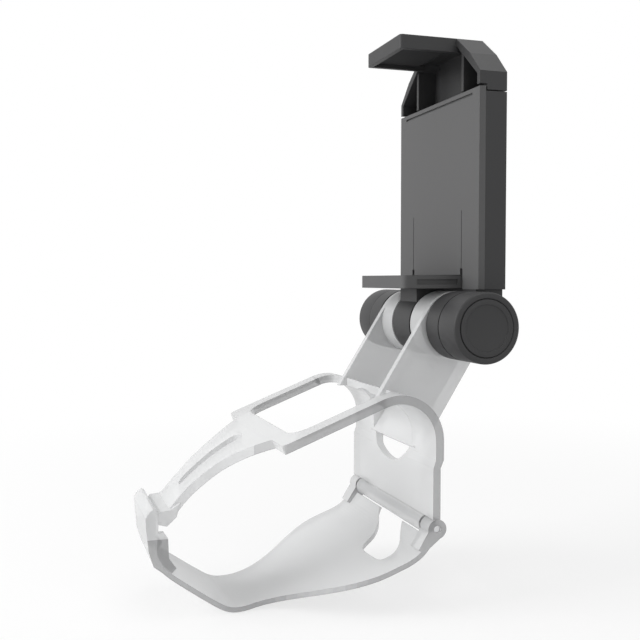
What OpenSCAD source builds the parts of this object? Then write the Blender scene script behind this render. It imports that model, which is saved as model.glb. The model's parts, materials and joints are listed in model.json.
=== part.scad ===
// Phone clip for a game controller: a clear bracket that wraps the controller, and a sprung
// phone holder on a friction hinge. The origin is the middle of the back plate's inner face,
// +X runs along the hinge barrel, -Y points to the player and +Z is up.

/* [Bracket] */
// Width of the clear bracket across the controller
bracket_w = 58; // [54:1:62]
// Wall of the clear bracket
shell_t = 2.2; // [1.9:0.1:2.5]
// Wall of the flat back plate
plate_t = 2; // [1.7:0.1:2.2]
// Width of each side bar of the top frame
bar_w = 5.5; // [4.5:0.5:7]
// Depth of the front bar of the top frame
front_bar = 4.2; // [3.6:0.2:5.5]
// Slope of the top frame over the controller's face
frame_slope = 21.5; // [18:0.5:26]
// Length of the sloping part of the top frame
frame_run = 27.8; // [25:0.2:31]
// Outer radius of the bend behind the frame
bend_r = 12; // [11:0.5:13]
// Half width of the twin arms near their middle
arm_half = 10.2; // [9.6:0.1:11.2]
// Radius of the twin arms' curve
arm_r = 56; // [52:1:62]
// Half width of the slit between the twin arms
slit_half = 1.7; // [1.3:0.1:2.2]

/* [Strap] */
// Wall of the lower strap
strap_t = 1.3; // [1.1:0.1:1.6]
// Half width of the strap at its waist under the controller
waist_half = 12.4; // [11:0.2:14]
// Half width of the riser at the front of the strap
riser_half = 12.5; // [12:0.1:13.5]
// Radius of the strap hinge's knuckles
knuckle_r = 2.5; // [2.3:0.1:2.8]
// Radius of the strap hinge's pin
strap_pin_r = 0.9; // [0.8:0.05:1]
// Length of each outer knuckle on the strap
strap_knuckle = 5; // [4:0.5:6]

/* [Hinge barrel] */
// Diameter of the hinge barrel
barrel_d = 18.2; // [17.6:0.1:19]
// Half width of the middle knuckle
middle_half = 5.7; // [5:0.1:6.2]
// Length of each clear ring
ring_l = 9.6; // [8.6:0.2:10.4]
// Length of each end cap
cap_l = 9.6; // [8.5:0.1:11]
// Radius of the hinge bolt
bolt_r = 2; // [1.7:0.1:2.3]
// Thickness of each friction washer
washer_t = 0.5; // [0.4:0.1:0.7]
// Lean of the clear arm back from the upright
arm_lean = 32; // [29:0.5:35]

/* [Holder] */
// Width of the phone holder
holder_w = 51; // [49:0.5:53]
// Thickness of the phone holder
holder_t = 7.8; // [7.6:0.1:8.6]
// Height of the holder's body above the barrel's axis
body_top = 60.5; // [56:0.5:66]
// Wall of the holder's mouldings
wall = 1.5; // [1.3:0.1:1.6]
// Thickness of the front panel
panel_t = 1.8; // [1.6:0.1:1.9]
// Half width of the lower jaw
low_jaw_half = 15.7; // [13:0.1:17]
// Reach of the lower jaw in front of the panel
low_jaw_reach = 16.8; // [14:0.2:18]
// Half width of the top jaw's lip
top_jaw_half = 12; // [10.5:0.5:13]
// Reach of the top jaw in front of the panel
top_jaw_reach = 16.3; // [14:0.1:18]
// Height of the top jaw over the body
top_jaw_h = 16.3; // [15:0.1:19]
// Travel of the sprung top jaw
jaw_travel = 30; // [26:1:32]
// Radius of the steel guide rods
rod_r = 1; // [0.9:0.05:1.1]
// Radius of the jaw springs
spring_r = 1.6; // [1.4:0.05:1.65]

/* [Hidden] */

// Clearances and overlaps
run_gap = 0.06;
free_gap = 0.3;
eps = 0.05;
curve_fn = 72;

// The barrel's axis in the bracket's frame
axis_y = 12.4;
axis_z = 44;
barrel_r = barrel_d / 2;
ring_x = middle_half + washer_t + free_gap;
ring_out = ring_x + ring_l;
outer_x = ring_out + washer_t + free_gap;
cap_x = 24;
bolt_bore_r = bolt_r + run_gap;
washer_r = barrel_r - 0.8;

// The bend and the crease of the clear bracket
bend_y = -9.1;
bend_z = 15.5;
back_y = bend_y + bend_r;
crease_z = 8.6;
jog = 2.1;
window_back = 1.3;
plate_low = -4.4;
plate_edge = -8.5;

// The strap hinge
strap_pin_y = 1.2;
strap_pin_z = -6.9;
mid_knuckle_half = bracket_w / 2 - strap_knuckle - free_gap - 0.7;

// The holder, measured from the barrel's axis
panel_y = 1.65;
holder_back = panel_y + holder_t;
cavity_y = panel_y + panel_t;
cavity_back = holder_back - wall;
mid_y = (cavity_y + cavity_back) / 2;
shell_low = barrel_r + 0.5;
jaw_low_z = barrel_r + 0.7;
jaw_thick = 3.5;
jaw_z = body_top + free_gap;
jaw_top = body_top + top_jaw_h;
shoulder_z = body_top + 5.1;
tongue_half = 20;
tongue_t = 2.6;
rod_x = 17;
rod_low = shell_low + wall;
rod_top = body_top - 2.5;
tongue_low = 24;
spring_x = 9;
spring_low = shell_low + wall + 1.4;
spring_top = 38;
slot_half = 2.6;
screw_x = 22.4;
screw_z = [18, 52];

// Draws a side outline, given as Y and Z, across the width
module across(w) {
    translate([-w / 2, 0, 0])
        rotate([90, 0, 90])
            linear_extrude(w) children();
}

// Draws a plan outline, given as X and Y, upwards
module upwards(low, high) {
    translate([0, 0, low]) linear_extrude(high - low) children();
}

// A cylinder along X from one place to another
module rod_x_from(low, high, r) {
    translate([low, 0, 0]) rotate([0, 90, 0]) cylinder(h = high - low, r = r, $fn = curve_fn);
}

// A rectangle with round corners, by its low and high corners
module round_box(low, high, r) {
    translate([low[0] + r, low[1]]) square([high[0] - low[0] - 2 * r, high[1] - low[1]]);
    translate([low[0], low[1] + r]) square([high[0] - low[0], high[1] - low[1] - 2 * r]);
    for (x = [low[0] + r, high[0] - r])
        for (y = [low[1] + r, high[1] - r])
            translate([x, y]) circle(r = r, $fn = 48);
}

// Side outline of the bend behind the frame
module bend_outline() {
    reach = 3 * bend_r;
    intersection() {
        translate([bend_y, bend_z])
            difference() {
                circle(r = bend_r, $fn = 96);
                circle(r = bend_r - shell_t, $fn = 96);
            }
        translate([bend_y, bend_z])
            polygon([[0, 0], [reach, 0], [reach, reach], [0, reach],
                [-reach * sin(frame_slope), reach * cos(frame_slope)]]);
    }
}

// Side outline of the back wall, its crease and the flat plate
module back_outline() {
    polygon([[back_y, bend_z], [back_y, crease_z + jog], [plate_t, crease_z],
        [plate_t, plate_low], [0, plate_low], [0, crease_z],
        [back_y - shell_t, crease_z + jog],
        [back_y - shell_t, bend_z]]);
}

// Side outline of the sloping frame
module slope_outline() {
    translate([bend_y, bend_z])
        rotate(frame_slope)
            translate([-frame_run, bend_r - shell_t])
                square([frame_run, shell_t]);
}

// Point on the arms' upper curve at a slope
arms_start = [bend_y - bend_r * sin(frame_slope) - frame_run * cos(frame_slope),
    bend_z + bend_r * cos(frame_slope) - frame_run * sin(frame_slope)];
arms_c = arms_start + arm_r * [sin(frame_slope), -cos(frame_slope)];
arms_end_slope = 52.5;
function arms_at(slope, depth) = arms_c + (arm_r - depth) * [-sin(slope), cos(slope)];
arms_tip = arms_at(arms_end_slope, 0);

// Side outline of the twin arms
module arms_outline() {
    steps = 10;
    span = arms_end_slope - frame_slope + 2;
    upper = [for (i = [0 : steps]) arms_at(frame_slope - 2 + span * i / steps, 0)];
    lower = [for (i = [steps : -1 : 0]) arms_at(frame_slope - 2 + span * i / steps, shell_t)];
    polygon(concat(upper, lower));
}

// Point on a smooth curve between the second and third of four points
function blend(a, b, c, d, t) =
    (2 * b + (c - a) * t + (2 * a - 5 * b + 4 * c - d) * t * t + (3 * b - a - 3 * c + d) * t * t * t) / 2;

// Smooth curve through a list of points
function smooth(points, steps) = let (n = len(points) - 1)
    concat([for (i = [0 : n - 1]) for (j = [0 : steps - 1])
        blend(points[max(i - 1, 0)], points[i], points[i + 1], points[min(i + 2, n)], j / steps)],
        [points[n]]);

// Plan outline of the twin arms with the slit between them
module arms_plan() {
    y = arms_start[0];
    flank = smooth([[arm_half + 10.2, y + 1.4], [arm_half + 7.2, y - 2.4], [arm_half + 4.3, y - 6.4],
        [arm_half + 1.5, y - 11], [arm_half, y - 15.4], [arm_half - 1.4, y - 20],
        [arm_half - 1.4, y - 30]], 4);
    difference() {
        polygon(concat(flank, [for (i = [len(flank) - 1 : -1 : 0]) [-flank[i][0], flank[i][1]]]));
        hull() {
            translate([0, arms_start[0] - 5.5]) circle(r = slit_half + 0.7, $fn = 24);
            translate([0, arms_tip[0] + 5.5]) circle(r = slit_half, $fn = 24);
        }
    }
}

// Bar across the arms' ends, which the strap's hook closes against
catch_d = 3;
catch_front = arms_tip[0] - catch_d;
module catch_outline() {
    polygon([[arms_tip[0] + 2.6, arms_tip[1] + 1.6], arms_tip, [catch_front + 0.6, arms_tip[1] - 0.2],
        [catch_front, arms_tip[1] - 1], [catch_front, arms_tip[1] - 3.4],
        [arms_tip[0] - 0.8, arms_tip[1] - 4], [arms_tip[0] + 1.6, arms_tip[1] - 1.8]]);
}

// Side outline of one cheek: round about the barrel's axis, and down to the bend
module cheek_outline() {
    down = [-sin(arm_lean), -cos(arm_lean)];
    side = [cos(arm_lean), -sin(arm_lean)];
    hub = [axis_y, axis_z];
    length = 34;
    union() {
        translate(hub) circle(r = barrel_r, $fn = 96);
        polygon([hub + barrel_r * side, hub - barrel_r * side,
            hub - barrel_r * side + length * down, hub + barrel_r * side + length * down]);
    }
}

// Side outline of the arm's back wall, from under the barrel to the crease
module arm_back_outline() {
    down = [-sin(arm_lean), -cos(arm_lean)];
    side = [cos(arm_lean), -sin(arm_lean)];
    hub = [axis_y, axis_z];
    start = 7.4;
    length = 33.6;
    polygon([hub + barrel_r * side + start * down, hub + (barrel_r - shell_t) * side + start * down,
        hub + (barrel_r - shell_t) * side + length * down, hub + barrel_r * side + length * down]);
}

// Everything in front of the bracket's rear faces, seen from the side
module bracket_envelope() {
    big = 80;
    difference() {
        union() {
            translate([bend_y, bend_z]) circle(r = bend_r, $fn = 96);
            translate([bend_y, crease_z + jog])
                square([bend_r, bend_z - crease_z - jog]);
            translate([-big, crease_z]) square([big + plate_t, jog + eps]);
            polygon([[plate_t, crease_z], [back_y, crease_z + jog], [-big, crease_z + jog],
                [-big, crease_z]]);
            translate([axis_y - big, bend_z]) square([2 * big, big]);
        }
        translate([-2 * big, -big]) square([2 * big - 9, big + bend_z - 2]);
    }
}

module arm() {
    cheek_t = shell_t;
    for (side = [-1, 1])
        translate([side * (ring_out - cheek_t / 2), 0, 0])
            across(cheek_t)
                difference() {
                    cheek_outline();
                    translate([bend_y, bend_z]) circle(r = bend_r - shell_t, $fn = 96);
                    translate([-80, -40]) square([80 + back_y - eps, 40 + bend_z]);
                }
    across(2 * ring_out)
        intersection() {
            arm_back_outline();
            bracket_envelope();
        }
    for (side = [-1, 1])
        translate([0, axis_y, axis_z])
            rod_x_from(side > 0 ? ring_x : -ring_out, side > 0 ? ring_out : -ring_x, barrel_r);
}

// Opening in the top frame, over the controller's buttons
module frame_window() {
    front = arms_start[0] + front_bar * cos(frame_slope);
    upwards(-1, 60)
        round_box([-bracket_w / 2 + bar_w, front], [bracket_w / 2 - bar_w, bend_y + window_back], 5);
}

// Round-topped window in the bend, between the arm's cheeks
module bend_window() {
    half = ring_out - shell_t;
    low = crease_z + jog + 1.2;
    difference() {
        translate([0, back_y + eps, low])
            rotate([90, 0, 0])
                linear_extrude(2 * shell_t + 7.5)
                    union() {
                        translate([-half, 0]) square([2 * half, 4]);
                        translate([0, 4]) scale([1, 0.72]) circle(r = half, $fn = 64);
                    }
        across(2 * ring_out) arm_back_outline();
    }
}

module upper_bracket() {
    color([0.9, 0.91, 0.92, 0.6])
        difference() {
            union() {
                difference() {
                    across(bracket_w)
                        union() {
                            bend_outline();
                            back_outline();
                            slope_outline();
                        }
                    frame_window();
                    bend_window();
                    frame_corners();
                }
                arm();
                intersection() {
                    across(bracket_w) arms_outline();
                    upwards(-30, 60) arms_plan();
                }
                across(2 * arm_half) catch_outline();
                translate([0, strap_pin_y, strap_pin_z])
                    rod_x_from(-mid_knuckle_half, mid_knuckle_half, knuckle_r);
                translate([-mid_knuckle_half, 0.3, strap_pin_z])
                    cube([2 * mid_knuckle_half, plate_t - 0.3, -strap_pin_z + plate_low + eps]);
                translate([-mid_knuckle_half, 0, plate_edge])
                    cube([2 * mid_knuckle_half, 1, strap_pin_z - plate_edge]);
            }
            translate([0, axis_y, axis_z]) rod_x_from(-ring_out - 1, ring_out + 1, bolt_bore_r);
            translate([0, strap_pin_y, strap_pin_z])
                rod_x_from(-bracket_w, bracket_w, strap_pin_r + run_gap);
        }
}

// Rounds the frame's two front corners
module frame_corners() {
    r = 2.5;
    front = arms_start[0] - 1.5;
    for (side = [-1, 1])
        upwards(0, 30)
            difference() {
                translate([side * (bracket_w / 2 - r / 2 + 1), front + r / 2])
                    square([r + 2, r + 2], center = true);
                translate([side * (bracket_w / 2 - r), front + r + 1]) circle(r = r, $fn = 48);
                translate([side * bracket_w / 2 - (side > 0 ? 2 * r : 0), front + r + 1])
                    square([2 * r, 2 * r]);
            }
}

riser_y = catch_front - free_gap;

// Inner side line of the strap, from the hinge to the riser, as Y and Z
strap_line = [[1.2, -6.9], [-0.6, -9], [-3.2, -12.2], [-6.2, -14.2], [-10.3, -15.8], [-17.5, -18.4],
    [-27, -22], [-34, -24.4], [-40, -26], [-45, -26.9], [-48.6, -26.6], [-52, -24.8], 
    [riser_y + 8.2, -20.4], [riser_y + 3, -16.6], [riser_y + 0.4, -13.6], [riser_y - 0.7, -9.6]];
strap_curve = smooth(strap_line, 4);
hook_top = -0.4;

// Plan outline of the strap: full width at the back, a waist, then the riser
module strap_plan() {
    half = bracket_w / 2;
    steps = 12;
    wide_y = -12;
    waist_y = -42;
    flank = [for (i = [0 : steps])
        [waist_half + (half - waist_half) * (1 + cos(180 * i / steps)) / 2,
            wide_y + (waist_y - wide_y) * i / steps]];
    nose = [[waist_half + 1.4, -52], [waist_half + 1, -60], [riser_half, riser_y + 0.6],
        [riser_half, riser_y - 8]];
    right = concat([[half, 12], [half, -2]], flank, nose);
    left = [for (i = [len(right) - 1 : -1 : 0]) [-right[i][0], right[i][1]]];
    polygon(concat(right, left));
}

// Direction across the strap's line at one of its points
function strap_normal(i) = let (n = len(strap_curve) - 1,
    d = strap_curve[min(i + 1, n)] - strap_curve[max(i - 1, 0)]) [-d[1], d[0]] / norm(d);

// Side outline of the strap's sheet, with its inner face on the strap's line
module strap_outline() {
    last = len(strap_curve) - 1;
    inner = [for (i = [4 : last]) strap_curve[i]];
    outer = [for (i = [last : -1 : 4]) strap_curve[i] + strap_t * strap_normal(i)];
    polygon(concat(inner, outer));
}

// Side outline of the riser and its hook
module riser_outline() {
    polygon([[riser_y - 0.2, -13], [riser_y, -7], [riser_y, hook_top - 1.6], [riser_y - 0.4, hook_top - 0.4],
        [riser_y - 1.2, hook_top], [riser_y - 2.2, hook_top - 0.8], [riser_y - 3.1, hook_top - 2.2],
        [riser_y - 2.9, -6], [riser_y - 2.4, -11], [riser_y - 1.2, -14.8], [riser_y + 1.6, -17]]);
}

// Side outline of the ribs behind the riser
module rib_outline() {
    polygon([[riser_y - 0.6, -14], [riser_y - 0.6, -6.4], [riser_y + 1.4, -6.4], [riser_y + 2.4, -8],
        [riser_y + 2.6, -13], [riser_y + 4.4, -15.6], [riser_y + 2.6, -17.4]]);
}

// Opening in the strap under the plate's edge
module strap_hole() {
    rim = smooth([[-7.5, 1.5], [-5.2, -1], [-0.8, -2.8], [3, -5.6], [7, -10.4], [10.5, -11.6],
        [15.5, -11.6], [20.4, -10.8], [20.4, -7.4], [17.7, -4.5], [13, -2.1], [9.4, 0.2], [8.4, 1.5]], 3);
    upwards(-40, -7.5) polygon(rim);
}

module lower_strap() {
    color([0.9, 0.91, 0.92, 0.6])
        difference() {
            union() {
                intersection() {
                    across(bracket_w) strap_outline();
                    upwards(-60, 10) strap_plan();
                }
                across(2 * riser_half) riser_outline();
                for (side = [-1, 1])
                    translate([side * (riser_half - 0.9), 0, 0]) across(1.8) rib_outline();
                for (side = [-1, 1])
                    translate([side * (bracket_w / 2 - strap_knuckle / 2), 0, 0])
                        across(strap_knuckle)
                            union() {
                                translate([strap_pin_y, strap_pin_z]) circle(r = knuckle_r, $fn = 48);
                                polygon([[strap_pin_y + 1.6, strap_pin_z - 1.8], [strap_pin_y - 2.4, strap_pin_z - 0.4],
                                    strap_line[2] + [-0.8, 0.4], strap_line[2] + [0.8, -0.5]]);
                            }
            }
            translate([0, strap_pin_y, strap_pin_z]) {
                rod_x_from(-bracket_w / 2 + strap_knuckle, bracket_w / 2 - strap_knuckle,
                    knuckle_r + free_gap + 0.1);
                rod_x_from(-bracket_w, bracket_w, strap_pin_r + run_gap);
            }
            translate([-mid_knuckle_half - free_gap - 0.4, -1, plate_edge - free_gap])
                cube([2 * (mid_knuckle_half + free_gap + 0.4), plate_t + 2, 6]);
            strap_hole();
        }
}

module strap_hinge_pin() {
    color("silver")
        translate([0, strap_pin_y, strap_pin_z])
            rod_x_from(-bracket_w / 2 + 0.4, bracket_w / 2 - 0.4, strap_pin_r);
}

// Moves a piece to the barrel's axis
module at_axis() {
    translate([0, axis_y, axis_z]) children();
}

// Outline of the holder's body, seen from the front
module holder_shell() {
    color([0.2, 0.2, 0.21])
        at_axis()
            difference() {
                union() {
                    translate([-holder_w / 2, cavity_y, shell_low])
                        cube([holder_w, holder_t - panel_t, body_top - shell_low]);
                    for (side = [-1, 1])
                        translate([side > 0 ? outer_x : -cap_x, panel_y, 0])
                            cube([cap_x - outer_x, holder_t, shell_low]);
                    rod_x_from(outer_x, cap_x, barrel_r);
                    rod_x_from(-cap_x, -outer_x, barrel_r);
                    rod_x_from(-middle_half, middle_half, barrel_r);
                    translate([-middle_half, -6.8, 5.4])
                        cube([2 * middle_half, 6.8 + holder_back - 1, shell_low - 5.4 + eps]);
                }
                translate([-holder_w / 2 + wall, cavity_y - eps, shell_low + wall])
                    cube([holder_w - 2 * wall, cavity_back - cavity_y + eps, body_top]);
                rod_x_from(-cap_x - 1, cap_x + 1, bolt_bore_r);
                for (x = [-screw_x, screw_x])
                    for (z = screw_z)
                        translate([x, holder_back + eps, z])
                            rotate([90, 0, 0]) cylinder(h = wall + 0.3, r = 0.95, $fn = 32);
                translate([-low_jaw_half - 0.1, -10, jaw_low_z - 0.05])
                    cube([2 * low_jaw_half + 0.2, 10 + cavity_y, jaw_thick + 0.2]);
            }
    color([0.2, 0.2, 0.21])
        at_axis() {
            for (x = [-screw_x, screw_x])
                for (z = screw_z)
                    translate([x, cavity_back + eps, z])
                        rotate([90, 0, 0])
                            difference() {
                                cylinder(h = cavity_back - cavity_y + eps, r = 1.55, $fn = 32);
                                translate([0, 0, -1]) cylinder(h = 8, r = 0.95, $fn = 32);
                            }
            for (x = [-rod_x, rod_x])
                difference() {
                    translate([x - 2, cavity_y, rod_low - eps])
                        cube([4, cavity_back - cavity_y, 4]);
                    translate([x, mid_y, rod_low])
                        cylinder(h = 6, r = rod_r, $fn = 32);
                }
            for (x = [-spring_x, spring_x])
                translate([x, mid_y, rod_low - eps])
                    cylinder(h = spring_low - rod_low + eps, r = 0.8, $fn = 32);
        }
}

module front_panel() {
    color([0.36, 0.36, 0.37])
        at_axis()
            difference() {
                translate([-holder_w / 2, panel_y, shell_low])
                    cube([holder_w, panel_t, body_top + 1.2 - shell_low]);
                translate([-holder_w / 2 + 4, panel_y - 1, body_top - 0.5])
                    cube([holder_w - 8, 1.5, 0.6]);
                for (side = [-1, 1]) {
                    translate([side * low_jaw_half - 0.15, panel_y - 1, shell_low + 3])
                        cube([0.3, 1.25, 18]);
                    translate([side * low_jaw_half - 0.7, panel_y - 1, shell_low - 1])
                        cube([1.4, 2, jaw_thick + 3]);
                }
                translate([-low_jaw_half - 0.1, panel_y - 1, jaw_low_z - 2])
                    cube([2 * low_jaw_half + 0.2, panel_t + 2, jaw_thick + 2.1]);
            }
}

pad_t = 0.8;
module lower_jaw() {
    tip = panel_y - low_jaw_reach;
    color([0.3, 0.3, 0.31])
        at_axis()
            difference() {
                upwards(jaw_low_z, jaw_low_z + jaw_thick)
                    union() {
                        round_box([-low_jaw_half, tip], [low_jaw_half, 0], 1.2);
                        translate([-low_jaw_half, -4])
                            square([2 * low_jaw_half, 4 + cavity_y]);
                    }
                translate([-low_jaw_half + 1.5, tip + 1.5, jaw_low_z + jaw_thick - pad_t])
                    cube([2 * low_jaw_half - 3, low_jaw_reach - 1.8, 2]);
                for (side = [-1, 1])
                    translate([side * low_jaw_half - 0.6, tip + 4, jaw_low_z + 1.1])
                        cube([1.2, low_jaw_reach - 5, 1.3]);
            }
}

module lower_jaw_pad() {
    tip = panel_y - low_jaw_reach;
    color([0.15, 0.15, 0.15])
        at_axis()
            translate([-low_jaw_half + 1.5, tip + 1.5, jaw_low_z + jaw_thick - pad_t])
                difference() {
                    cube([2 * low_jaw_half - 3, low_jaw_reach - 1.8, pad_t]);
                    for (i = [1 : 4])
                        translate([-1, i * 3, pad_t - 0.3]) cube([2 * low_jaw_half, 0.8, 1]);
                }
}

// Front outline of the top jaw, with its sloping shoulders
module jaw_front(inset) {
    half = holder_w / 2 - inset;
    top_half = top_jaw_half - inset * 0.4;
    polygon([[-half, jaw_z], [-half, shoulder_z - inset * 0.3], [-half + 5.6, shoulder_z + 5.6 - inset],
        [-top_half, jaw_top - inset], [top_half, jaw_top - inset],
        [half - 5.6, shoulder_z + 5.6 - inset], [half, shoulder_z - inset * 0.3], [half, jaw_z]]);
}

module top_jaw() {
    tip = panel_y - top_jaw_reach;
    lip_h = 3.7;
    rib_x = 14.5;
    color([0.22, 0.22, 0.23])
        at_axis()
            difference() {
                union() {
                    difference() {
                        translate([0, holder_back, 0])
                            rotate([90, 0, 0]) linear_extrude(holder_t) jaw_front(0);
                        translate([0, cavity_back, 0])
                            rotate([90, 0, 0]) linear_extrude(holder_t)
                                difference() {
                                    jaw_front(wall);
                                    translate([-holder_w, 0]) square([2 * holder_w, jaw_z + wall]);
                                }
                    }
                    for (side = [-1, 1])
                        translate([side * rib_x - 0.6, panel_y + 0.6, jaw_z])
                            cube([1.2, holder_t - 1, jaw_top - jaw_z - 3.6]);
                    translate([0, 0, jaw_top - lip_h])
                        linear_extrude(lip_h)
                            union() {
                                round_box([-top_jaw_half, tip], [top_jaw_half, panel_y], 0.8);
                                translate([-top_jaw_half, panel_y - 3]) square([2 * top_jaw_half, 4]);
                            }
                    translate([-tongue_half, mid_y - tongue_t / 2, tongue_low])
                        cube([2 * tongue_half, tongue_t, jaw_z + wall - tongue_low]);
                }
                translate([-top_jaw_half + 1.3, tip + 1.3, jaw_top - lip_h - 1])
                    cube([2 * top_jaw_half - 2.6, top_jaw_reach + 1.4, lip_h - 0.9]);
                translate([-holder_w, panel_y - 1, jaw_z - 1])
                    cube([2 * holder_w, panel_t + 1 + free_gap, 1.2 + free_gap + 1]);
                for (side = [-1, 1]) {
                    translate([side * rod_x, mid_y, tongue_low - 1])
                        cylinder(h = rod_top + 1 - tongue_low + 2, r = rod_r + run_gap, $fn = 32);
                    translate([side * spring_x - slot_half, cavity_y - 2, tongue_low - 1])
                        cube([2 * slot_half, holder_t, spring_top - tongue_low + 1 + 1.4]);
                }
            }
    color([0.22, 0.22, 0.23])
        at_axis()
            for (side = [-1, 1])
                translate([side * spring_x, mid_y, spring_top])
                    cylinder(h = 1.4 + eps, r = 0.8, $fn = 32);
}

module top_jaw_pad() {
    tip = panel_y - top_jaw_reach;
    color([0.15, 0.15, 0.15])
        at_axis()
            translate([-top_jaw_half + 1.3, tip + 1.3, jaw_top - 1.9 - pad_t])
                cube([2 * top_jaw_half - 2.6, top_jaw_reach - 2.4, pad_t]);
}

module guide_rod(side) {
    color("silver")
        at_axis()
            translate([side * rod_x, mid_y, rod_low])
                cylinder(h = rod_top - rod_low, r = rod_r, $fn = 32);
}

// Points of one ring of the spring's wire, at a place along its length
spring_turns = 14;
spring_steps = 8;
spring_sides = 4;
wire_r = 0.3;
function wire_ring(i, n) = let (a = 360 * i / spring_steps, c = spring_r - wire_r,
    z = spring_low + wire_r + (spring_top - spring_low - 2 * wire_r) * i / n)
    [for (k = [0 : spring_sides - 1]) let (b = 360 * k / spring_sides)
        [(c + wire_r * cos(b)) * cos(a), (c + wire_r * cos(b)) * sin(a), z + wire_r * sin(b)]];

module jaw_spring(side) {
    n = spring_turns * spring_steps;
    points = [for (i = [0 : n]) each wire_ring(i, n)];
    s = spring_sides;
    sides = [for (i = [0 : n - 1]) for (k = [0 : s - 1])
        [i * s + k, i * s + (k + 1) % s, (i + 1) * s + (k + 1) % s, (i + 1) * s + k]];
    ends = [[for (k = [s - 1 : -1 : 0]) k], [for (k = [0 : s - 1]) n * s + k]];
    color("silver")
        at_axis()
            translate([side * spring_x, mid_y, 0])
                polyhedron(points = points, faces = concat(sides, ends));
}

module housing_screws() {
    color("silver")
        at_axis()
            for (x = [-screw_x, screw_x])
                for (z = screw_z)
                    translate([x, holder_back - 0.2, z])
                        rotate([90, 0, 0])
                            difference() {
                                cylinder(h = holder_t - panel_t - 0.6, r = 0.9, $fn = 32);
                                translate([-0.6, -0.15, -1]) cube([1.2, 0.3, 1.4]);
                                translate([-0.15, -0.6, -1]) cube([0.3, 1.2, 1.4]);
                            }
}

bolt_head_r = 3.6;
bolt_head_l = 2.6;
module hinge_bolt() {
    color("silver")
        at_axis()
            difference() {
                union() {
                    rod_x_from(-cap_x - 4.6, cap_x + eps, bolt_r);
                    rod_x_from(cap_x, cap_x + bolt_head_l, bolt_head_r);
                }
                translate([cap_x + 1, 0, 0])
                    rotate([0, 90, 0]) cylinder(h = 3, r = 1.7, $fn = 6);
            }
}

spring_washer_t = 0.8;
module spring_washer() {
    color("silver")
        at_axis()
            difference() {
                rod_x_from(-cap_x - spring_washer_t, -cap_x, 3.7);
                rod_x_from(-cap_x - 2, -cap_x + 1, bolt_bore_r);
                translate([-cap_x - 2, -0.3, 0]) cube([4, 0.6, 5]);
            }
}

module hinge_nut() {
    color("silver")
        at_axis()
            translate([-cap_x - spring_washer_t - 3, 0, 0])
                rotate([0, 90, 0])
                    difference() {
                        cylinder(h = 3, r = 4, $fn = 6);
                        translate([0, 0, -1]) cylinder(h = 5, r = bolt_r, $fn = curve_fn);
                    }
}

module friction_washers() {
    color([0.1, 0.1, 0.1])
        at_axis()
            for (x = [-outer_x, -middle_half - washer_t, middle_half, outer_x - washer_t])
                difference() {
                    rod_x_from(x, x + washer_t, washer_r);
                    rod_x_from(x - 1, x + 2, bolt_bore_r);
                }
}

disc_r = 7.3;
disc_t = 1.4;
module end_cap(side) {
    color([0.24, 0.24, 0.25])
        at_axis()
            scale([side, 1, 1])
                difference() {
                    rod_x_from(cap_x, cap_x + cap_l, barrel_r);
                    rod_x_from(cap_x - 1, cap_x + cap_l - 2.6, 5.4);
                    rod_x_from(cap_x + cap_l - disc_t, cap_x + cap_l + 1, disc_r);
                }
}

module cap_disc(side) {
    color([0.22, 0.22, 0.23])
        at_axis()
            scale([side, 1, 1])
                union() {
                    rod_x_from(cap_x + cap_l - disc_t, cap_x + cap_l - 0.5, disc_r);
                    rod_x_from(cap_x + cap_l - disc_t, cap_x + cap_l, disc_r - 0.5);
                }
}

upper_bracket();
lower_strap();
strap_hinge_pin();
holder_shell();
front_panel();
lower_jaw();
lower_jaw_pad();
top_jaw();
top_jaw_pad();
guide_rod(-1);  // guide_rod_left
guide_rod(1);  // guide_rod_right
jaw_spring(-1);  // jaw_spring_left
jaw_spring(1);  // jaw_spring_right
housing_screws();
hinge_bolt();
hinge_nut();
spring_washer();
friction_washers();
end_cap(-1);  // end_cap_left
end_cap(1);  // end_cap_right
cap_disc(-1);  // cap_disc_left
cap_disc(1);  // cap_disc_right
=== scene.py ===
"""Looks of the controller phone clip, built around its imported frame.

The clear bracket and strap, the phone holder, its sprung jaw and the steel parts keep their
CAD shapes and get procedural finishes. The end caps and their discs are modelled here with
round edges, and each of them rides on the holder.
"""

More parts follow.
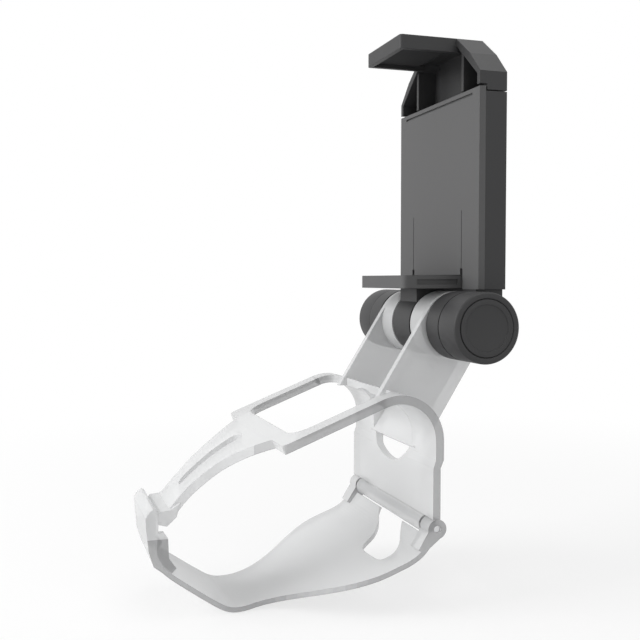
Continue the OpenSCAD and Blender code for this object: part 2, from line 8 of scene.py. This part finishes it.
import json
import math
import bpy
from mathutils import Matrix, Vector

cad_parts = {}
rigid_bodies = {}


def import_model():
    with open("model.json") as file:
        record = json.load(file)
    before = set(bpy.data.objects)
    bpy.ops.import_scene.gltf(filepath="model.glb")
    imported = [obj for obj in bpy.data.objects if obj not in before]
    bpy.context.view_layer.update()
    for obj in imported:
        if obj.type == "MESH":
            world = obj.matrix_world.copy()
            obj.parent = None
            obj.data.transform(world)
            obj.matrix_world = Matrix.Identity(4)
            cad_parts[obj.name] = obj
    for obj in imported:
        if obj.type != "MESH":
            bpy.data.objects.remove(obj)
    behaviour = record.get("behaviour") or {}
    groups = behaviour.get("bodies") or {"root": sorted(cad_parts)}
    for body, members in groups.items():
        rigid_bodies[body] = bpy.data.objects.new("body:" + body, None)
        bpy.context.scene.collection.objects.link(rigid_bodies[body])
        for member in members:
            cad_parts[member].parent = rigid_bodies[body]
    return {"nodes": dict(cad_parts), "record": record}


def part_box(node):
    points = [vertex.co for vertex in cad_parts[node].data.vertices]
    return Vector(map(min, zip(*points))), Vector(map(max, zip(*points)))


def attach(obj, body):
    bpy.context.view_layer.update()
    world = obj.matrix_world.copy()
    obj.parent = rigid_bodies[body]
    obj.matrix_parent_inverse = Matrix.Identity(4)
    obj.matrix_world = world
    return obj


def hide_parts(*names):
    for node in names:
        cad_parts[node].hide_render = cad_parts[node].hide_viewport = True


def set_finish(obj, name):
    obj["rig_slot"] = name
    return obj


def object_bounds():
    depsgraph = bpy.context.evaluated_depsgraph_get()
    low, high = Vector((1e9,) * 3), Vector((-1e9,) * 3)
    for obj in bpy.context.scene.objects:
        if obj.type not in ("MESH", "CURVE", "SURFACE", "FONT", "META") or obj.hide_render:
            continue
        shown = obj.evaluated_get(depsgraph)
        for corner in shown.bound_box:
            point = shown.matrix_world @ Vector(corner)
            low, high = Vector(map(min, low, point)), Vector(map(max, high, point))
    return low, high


bl_info = {
    "name": "Controller Phone Clip",
    "version": (1, 0, 0),
    "blender": (4, 5, 0),
    "location": "View3D > Sidebar > Phone Clip",
    "description": "Dresses the packed phone clip in its finishes and sets up its picture",
    "category": "Object",
}

import bpy
from mathutils import Matrix, Vector

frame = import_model()


CAD_BOUNDS = [list(corner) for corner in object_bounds()]


class ClipCapSettings(bpy.types.PropertyGroup):
    """Shape of the end caps on the hinge barrel."""

    rim_round: bpy.props.FloatProperty(
        name="Rim rounding",
        description="Radius of the rounding on a cap's edges",
        default=0.0006,
        min=0.0001,
        max=0.0012,
        unit="LENGTH",
    )
    disc_round: bpy.props.FloatProperty(
        name="Disc rounding",
        description="Radius of the rounding on a disc's edges",
        default=0.00035,
        min=0.0001,
        max=0.0006,
        unit="LENGTH",
    )
    sides: bpy.props.IntProperty(
        name="Sides", description="Facets around a cap", default=128, min=32, max=256
    )


class ClipFinishSettings(bpy.types.PropertyGroup):
    """Colours and grain of the finishes."""

    clear_colour: bpy.props.FloatVectorProperty(
        name="Clear plastic",
        description="Colour of the clear plastic",
        default=(0.73, 0.735, 0.74),
        min=0,
        max=1,
        subtype="COLOR",
    )
    # Painted shade: the darker colour laid on the clear plastic's sideways-facing cut edges, which the random
    # tint also leans towards
    side_shade_colour: bpy.props.FloatVectorProperty(
        name="Cut edges",
        description="Colour of the clear plastic's side faces",
        default=(0.34, 0.342, 0.346),
        min=0,
        max=1,
        subtype="COLOR",
    )
    clear_alpha: bpy.props.FloatProperty(
        name="Clear opacity",
        description="Share of the light that the clear plastic stops",
        default=0.62,
        min=0,
        max=1,
        subtype="FACTOR",
    )
    black_colour: bpy.props.FloatVectorProperty(
        name="Black plastic",
        description="Colour of the holder's mouldings",
        default=(0.030, 0.030, 0.031),
        min=0,
        max=1,
        subtype="COLOR",
    )
    grey_colour: bpy.props.FloatVectorProperty(
        name="Grey plastic",
        description="Colour of the front panel",
        default=(0.088, 0.088, 0.089),
        min=0,
        max=1,
        subtype="COLOR",
    )
    grain: bpy.props.FloatProperty(
        name="Grain",
        description="Size of the fine grain in the mouldings",
        default=0.0004,
        min=0.0001,
        max=0.002,
        unit="LENGTH",
    )
    edge_round: bpy.props.FloatProperty(
        name="Soft edges",
        description="Radius to which edges look rounded",
        default=0.0003,
        min=0,
        max=0.001,
        unit="LENGTH",
    )


class ClipStageSettings(bpy.types.PropertyGroup):
    """Light and camera."""

    light: bpy.props.FloatProperty(
        name="Light", description="Level of all the lamps", default=1.0, min=0, max=3
    )
    room: bpy.props.FloatProperty(
        name="Room light", description="Level of the light from all round", default=0.42, min=0, max=2
    )
    lens: bpy.props.FloatProperty(
        name="Lens", description="Focal length of the camera", default=51.41, min=20, max=200
    )
    camera_place: bpy.props.FloatVectorProperty(
        name="Camera",
        description="Place of the camera",
        default=(0.2369, -0.09765, 0.05615),
        subtype="TRANSLATION",
        unit="LENGTH",
    )
    heading: bpy.props.FloatProperty(
        name="Heading",
        description="Turn of the camera about the upright",
        default=math.radians(71.976),
        subtype="ANGLE",
        unit="ROTATION",
    )
    dip: bpy.props.FloatProperty(
        name="Dip",
        description="Angle at which the camera looks down",
        default=math.radians(2.526),
        subtype="ANGLE",
        unit="ROTATION",
    )


class Nodes:
    """A short way to add and link the nodes of one material or world."""

    def __init__(self, tree):
        self.tree = tree
        tree.nodes.clear()

    def add(self, kind, **values):
        node = self.tree.nodes.new(kind)
        for key, value in values.items():
            setattr(node, key, value)
        return node

    def link(self, source, target):
        self.tree.links.new(source, target)

    def maths(self, operation, first, second):
        node = self.add("ShaderNodeMath", operation=operation)
        for socket, value in zip(node.inputs, (first, second)):
            if isinstance(value, (int, float)):
                socket.default_value = value
            else:
                self.link(value, socket)
        return node.outputs[0]


def mixed(nodes, factor, first, second):
    """Mixes two colours, given as tuples, by a factor socket."""
    mix = nodes.add("ShaderNodeMix", data_type="RGBA")
    nodes.link(factor, mix.inputs["Factor"])
    mix.inputs[6].default_value = (*first, 1)
    mix.inputs[7].default_value = (*second, 1)
    return mix.outputs[2]


def noise(nodes, coordinates, size, detail=3.0):
    """Noise with spots of about a size in metres."""
    node = nodes.add("ShaderNodeTexNoise")
    node.inputs["Scale"].default_value = 1 / size
    node.inputs["Detail"].default_value = detail
    nodes.link(coordinates, node.inputs["Vector"])
    return node.outputs["Fac"]


def surface_normal(nodes, height, strength, depth, edge_round):
    """Soft edges with a fine relief over them."""
    bevel = nodes.add("ShaderNodeBevel", samples=4)
    bevel.inputs["Radius"].default_value = edge_round
    bump = nodes.add("ShaderNodeBump")
    bump.inputs["Strength"].default_value = strength
    bump.inputs["Distance"].default_value = depth
    nodes.link(height, bump.inputs["Height"])
    nodes.link(bevel.outputs["Normal"], bump.inputs["Normal"])
    return bump.outputs["Normal"]


def finish_material(name, colour, roughness, settings, relief=0.25, specular=0.5, metallic=0.0):
    """A grained finish whose colour and gloss vary a little over the surface."""
    material = bpy.data.materials.new(name)
    material.use_nodes = True
    nodes = Nodes(material.node_tree)
    place = nodes.add("ShaderNodeTexCoord").outputs["Object"]
    shader = nodes.add("ShaderNodeBsdfPrincipled")
    grain = noise(nodes, place, settings.grain)
    broad = noise(nodes, place, 0.012)
    dark = tuple(c * 0.93 for c in colour)
    light = tuple(min(c * 1.07, 1) for c in colour)
    nodes.link(mixed(nodes, broad, dark, light), shader.inputs["Base Color"])
    spread = nodes.maths("MULTIPLY", nodes.maths("SUBTRACT", broad, 0.5), 0.12)
    nodes.link(nodes.maths("ADD", spread, roughness), shader.inputs["Roughness"])
    shader.inputs["Specular IOR Level"].default_value = specular
    shader.inputs["Metallic"].default_value = metallic
    normal = surface_normal(nodes, grain, relief, 0.00006, settings.edge_round)
    nodes.link(normal, shader.inputs["Normal"])
    output = nodes.add("ShaderNodeOutputMaterial")
    nodes.link(shader.outputs[0], output.inputs["Surface"])
    return material


def clear_material(settings):
    """Clear plastic: see-through walls, with painted shade darkening the cut edges that face sideways."""
    material = bpy.data.materials.new("clear plastic")
    material.use_nodes = True
    nodes = Nodes(material.node_tree)
    coordinates = nodes.add("ShaderNodeTexCoord")
    place = coordinates.outputs["Object"]
    shader = nodes.add("ShaderNodeBsdfPrincipled")
    # Painted shade: faces turned sideways (along X), outside the bracket's cheeks or low on the strap, are
    # mixed towards the darker colour
    split = nodes.add("ShaderNodeSeparateXYZ")
    nodes.link(coordinates.outputs["Normal"], split.inputs[0])
    side = nodes.maths("ABSOLUTE", split.outputs[0], 0)
    where = nodes.add("ShaderNodeSeparateXYZ")
    nodes.link(place, where.inputs[0])
    outside = nodes.maths("GREATER_THAN", nodes.maths("ABSOLUTE", where.outputs[0], 0), 0.0163)
    below = nodes.maths("LESS_THAN", where.outputs[2], -0.008)
    painted_side_shade = nodes.maths("MULTIPLY", side, nodes.maths("MAXIMUM", outside, below))
    ramp = nodes.add("ShaderNodeMapRange", interpolation_type="SMOOTHSTEP")
    ramp.inputs["From Min"].default_value = 0.55
    ramp.inputs["From Max"].default_value = 0.98
    nodes.link(painted_side_shade, ramp.inputs["Value"])
    broad = noise(nodes, place, 0.02, 2.0)
    tint = nodes.maths("MULTIPLY", nodes.maths("SUBTRACT", broad, 0.5), 0.16)
    factor = nodes.add("ShaderNodeMath", operation="ADD", use_clamp=True)
    nodes.link(ramp.outputs["Result"], factor.inputs[0])
    nodes.link(tint, factor.inputs[1])
    # The clear colour, mixed towards the painted shade on sideways faces and a little by the random tint
    edge = mixed(nodes, factor.outputs[0], settings.clear_colour, settings.side_shade_colour)
    nodes.link(edge, shader.inputs["Base Color"])
    shader.inputs["Roughness"].default_value = 0.22
    shader.inputs["IOR"].default_value = 1.49
    shader.inputs["Alpha"].default_value = settings.clear_alpha
    ripple = noise(nodes, place, 0.006, 1.0)
    nodes.link(surface_normal(nodes, ripple, 0.15, 0.0001, settings.edge_round), shader.inputs["Normal"])
    output = nodes.add("ShaderNodeOutputMaterial")
    nodes.link(shader.outputs[0], output.inputs["Surface"])
    return material


def cylinder(name, radius, low, high, axis, sides):
    """A cylinder along X from one place to another."""
    bpy.ops.object.select_all(action="DESELECT")
    bpy.ops.mesh.primitive_cylinder_add(
        vertices=sides,
        radius=radius,
        depth=high - low,
        location=((low + high) / 2, axis[0], axis[1]),
        rotation=(0, math.pi / 2, 0),
    )
    piece = bpy.context.active_object
    piece.name = name
    bpy.ops.object.transform_apply(location=True, rotation=True, scale=True)
    return piece


def cut(piece, tool):
    """Takes the tool's shape out of a piece."""
    change = piece.modifiers.new("cut", "BOOLEAN")
    change.operation = "DIFFERENCE"
    change.object = tool
    bpy.context.view_layer.objects.active = piece
    bpy.ops.object.modifier_apply(modifier=change.name)
    bpy.data.objects.remove(tool, do_unlink=True)


def soften(piece, width, segments):
    """Rounds a piece's sharp edges and shades it smooth."""
    change = piece.modifiers.new("soften", "BEVEL")
    change.width = width
    change.segments = segments
    change.limit_method = "ANGLE"
    change.angle_limit = math.radians(40)
    bpy.ops.object.select_all(action="DESELECT")
    piece.select_set(True)
    bpy.context.view_layer.objects.active = piece
    bpy.ops.object.modifier_apply(modifier=change.name)
    bpy.ops.object.shade_smooth_by_angle(angle=math.radians(35))


def span(node, side):
    """Inner and outer place along the barrel, radius and axis of a round CAD node."""
    low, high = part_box(node)
    inner, outer = (low.x, high.x) if side > 0 else (high.x, low.x)
    return inner, outer, (high.z - low.z) / 2, ((low.y + high.y) / 2, (low.z + high.z) / 2)


SIDES = (("left", -1), ("right", 1))


class CLIP_OT_end_caps(bpy.types.Operator):
    """Models the two end caps of the hinge barrel, hollow, with a seat for the disc"""

    bl_idname = "clip.end_caps"
    bl_label = "End caps"

    def execute(self, context):
        settings = context.scene.clip_caps
        for word, side in SIDES:
            node = f"end_cap_{word}"
            inner, outer, radius, axis = span(node, side)
            disc_inner, _, disc_radius, _ = span(f"cap_disc_{word}", side)
            piece = cylinder(f"cap_{word}", radius, min(inner, outer), max(inner, outer), axis, settings.sides)
            seat = sorted((disc_inner, outer + side * 0.002))
            cut(piece, cylinder("seat", disc_radius, *seat, axis, settings.sides))
            hollow = sorted((inner - side * 0.001, outer - side * 0.0026))
            cut(piece, cylinder("hollow", 0.0054, *hollow, axis, 64))
            if not piece.data.polygons:
                raise RuntimeError(f"{node}: the cap came out empty")
            soften(piece, settings.rim_round, 4)
            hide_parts(node)
            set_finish(piece, "black_plastic")
            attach(piece, "holder")
        return {"FINISHED"}


class CLIP_OT_cap_discs(bpy.types.Operator):
    """Models the round discs that close the end caps"""

    bl_idname = "clip.cap_discs"
    bl_label = "Cap discs"

    def execute(self, context):
        settings = context.scene.clip_caps
        for word, side in SIDES:
            node = f"cap_disc_{word}"
            inner, outer, radius, axis = span(node, side)
            piece = cylinder(f"disc_{word}", radius, min(inner, outer), max(inner, outer), axis, settings.sides)
            dish = sorted((outer - side * 0.0003, outer + side * 0.001))
            cut(piece, cylinder("dish", radius - 0.0014, *dish, axis, settings.sides))
            if not piece.data.polygons:
                raise RuntimeError(f"{node}: the disc came out empty")
            soften(piece, settings.disc_round * 0.6, 3)
            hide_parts(node)
            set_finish(piece, "black_plastic")
            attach(piece, "holder")
        return {"FINISHED"}


class CLIP_OT_finishes(bpy.types.Operator):
    """Gives every CAD node and modelled piece the finish of its material slot"""

    bl_idname = "clip.finishes"
    bl_label = "Finishes"

    def execute(self, context):
        settings = context.scene.clip_finish
        black = tuple(settings.black_colour)
        grey = tuple(settings.grey_colour)
        finishes = {
            "clear_plastic": clear_material(settings),
            "black_plastic": finish_material("black plastic", black, 0.52, settings, specular=0.35),
            "grey_plastic": finish_material("grey plastic", grey, 0.6, settings, specular=0.3),
            "soft_rubber": finish_material("soft rubber", (0.025, 0.025, 0.026), 0.85, settings, 0.5, 0.2),
            "bright_steel": finish_material("bright steel", (0.62, 0.62, 0.63), 0.3, settings, 0.05, 0.5, 1.0),
        }
        slots = {s["node"]: s["material_slot"] for s in frame["record"]["subparts"]}
        for name, node in frame["nodes"].items():
            if slots.get(name) not in finishes:
                raise RuntimeError(f"{name} has no finish")
            node.data.materials.clear()
            node.data.materials.append(finishes[slots[name]])
        for piece in bpy.data.objects:
            if piece.type == "MESH" and "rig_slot" in piece:
                piece.data.materials.clear()
                piece.data.materials.append(finishes[piece["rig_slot"]])
        return {"FINISHED"}


def add_lamp(name, place, target, size, energy):
    """A soft square lamp that faces a target."""
    bpy.ops.object.light_add(type="AREA", location=place)
    lamp = bpy.context.active_object
    lamp.name = name
    lamp.data.size = size
    lamp.data.energy = energy
    lamp.rotation_euler = (Vector(target) - Vector(place)).to_track_quat("-Z", "Y").to_euler()


def seen_rays(nodes):
    """1 for what the camera sees, straight or in gloss or through glass."""
    rays = nodes.add("ShaderNodeLightPath")
    seen = nodes.maths("MAXIMUM", rays.outputs["Is Camera Ray"], rays.outputs["Is Glossy Ray"])
    return nodes.maths("MAXIMUM", seen, rays.outputs["Is Transmission Ray"])


def floor_material():
    """A white floor that keeps the shadow near the object and fades to plain white."""
    material = bpy.data.materials.new("floor")
    material.use_nodes = True
    nodes = Nodes(material.node_tree)
    place = nodes.add("ShaderNodeTexCoord").outputs["Object"]
    length = nodes.add("ShaderNodeVectorMath", operation="LENGTH")
    nodes.link(place, length.inputs[0])
    fade = nodes.add("ShaderNodeMapRange", interpolation_type="SMOOTHSTEP")
    fade.inputs["From Min"].default_value = 0.08
    fade.inputs["From Max"].default_value = 0.35
    fade.inputs["To Min"].default_value = 0.68
    fade.inputs["To Max"].default_value = 1.0
    nodes.link(length.outputs["Value"], fade.inputs["Value"])
    paint = nodes.add("ShaderNodeBsdfDiffuse")
    paint.inputs["Color"].default_value = (0.9, 0.9, 0.9, 1)
    glow = nodes.add("ShaderNodeEmission")
    glow.inputs["Color"].default_value = (1, 1, 1, 1)
    mix = nodes.add("ShaderNodeMixShader")
    nodes.link(nodes.maths("MULTIPLY", seen_rays(nodes), fade.outputs["Result"]), mix.inputs[0])
    nodes.link(paint.outputs[0], mix.inputs[1])
    nodes.link(glow.outputs[0], mix.inputs[2])
    output = nodes.add("ShaderNodeOutputMaterial")
    nodes.link(mix.outputs[0], output.inputs["Surface"])
    return material


class CLIP_OT_stage(bpy.types.Operator):
    """Sets up the white floor, the soft lamps, the world and the camera of the picture"""

    bl_idname = "clip.stage"
    bl_label = "Stage"

    def execute(self, context):
        settings = context.scene.clip_stage
        scene = context.scene
        bpy.ops.object.select_all(action="DESELECT")
        bpy.ops.mesh.primitive_plane_add(size=12, location=(0, 0, CAD_BOUNDS[0][2] - 0.0002))
        floor = context.active_object
        floor.name = "floor"
        floor.data.materials.append(floor_material())
        middle = (0, -0.01, 0.045)
        add_lamp("key", (-0.1, -0.85, 0.42), middle, 0.6, 6.6 * settings.light)
        add_lamp("top", (0.1, 0.15, 0.9), middle, 0.8, 3.0 * settings.light)
        add_lamp("fill", (0.9, 0.1, 0.25), middle, 0.7, 1.0 * settings.light)
        world = bpy.data.worlds.new("white room")
        world.use_nodes = True
        scene.world = world
        nodes = Nodes(world.node_tree)
        level = nodes.add("ShaderNodeMapRange")
        level.inputs["To Min"].default_value = settings.room
        level.inputs["To Max"].default_value = 1.0
        nodes.link(seen_rays(nodes), level.inputs["Value"])
        background = nodes.add("ShaderNodeBackground")
        background.inputs["Color"].default_value = (1, 1, 1, 1)
        nodes.link(level.outputs["Result"], background.inputs["Strength"])
        output = nodes.add("ShaderNodeOutputWorld")
        nodes.link(background.outputs[0], output.inputs["Surface"])
        data = bpy.data.cameras.new("camera")
        data.lens = settings.lens
        data.sensor_width = 36
        data.clip_start = 0.005
        camera = bpy.data.objects.new("camera", data)
        scene.collection.objects.link(camera)
        turn, dip = settings.heading, settings.dip
        view = Vector((-math.sin(turn) * math.cos(dip), math.cos(turn) * math.cos(dip), -math.sin(dip)))
        facing = view.to_track_quat("-Z", "Y").to_matrix().to_4x4()
        camera.matrix_world = Matrix.Translation(settings.camera_place) @ facing
        scene.camera = camera
        scene.view_settings.view_transform = "Standard"
        return {"FINISHED"}


class CLIP_PT_panel(bpy.types.Panel):
    """Buttons and settings of the phone clip"""

    bl_idname = "CLIP_PT_panel"
    bl_label = "Phone Clip"
    bl_space_type = "VIEW_3D"
    bl_region_type = "UI"
    bl_category = "Phone Clip"

    def draw(self, context):
        layout = self.layout
        for operator in ("clip.end_caps", "clip.cap_discs", "clip.finishes", "clip.stage"):
            layout.operator(operator)
        for group in (context.scene.clip_caps, context.scene.clip_finish, context.scene.clip_stage):
            for name in group.bl_rna.properties.keys():
                if name not in {"rna_type", "name"}:
                    layout.prop(group, name)


CLASSES = (
    ClipCapSettings,
    ClipFinishSettings,
    ClipStageSettings,
    CLIP_OT_end_caps,
    CLIP_OT_cap_discs,
    CLIP_OT_finishes,
    CLIP_OT_stage,
    CLIP_PT_panel,
)


def register():
    for item in CLASSES:
        bpy.utils.register_class(item)
    bpy.types.Scene.clip_caps = bpy.props.PointerProperty(type=ClipCapSettings)
    bpy.types.Scene.clip_finish = bpy.props.PointerProperty(type=ClipFinishSettings)
    bpy.types.Scene.clip_stage = bpy.props.PointerProperty(type=ClipStageSettings)


def unregister():
    del bpy.types.Scene.clip_stage
    del bpy.types.Scene.clip_finish
    del bpy.types.Scene.clip_caps
    for item in reversed(CLASSES):
        bpy.utils.unregister_class(item)


def main():
    register()
    bpy.ops.clip.end_caps()
    bpy.ops.clip.cap_discs()
    bpy.ops.clip.finishes()
    bpy.ops.clip.stage()


if __name__ == "__main__":
    main()
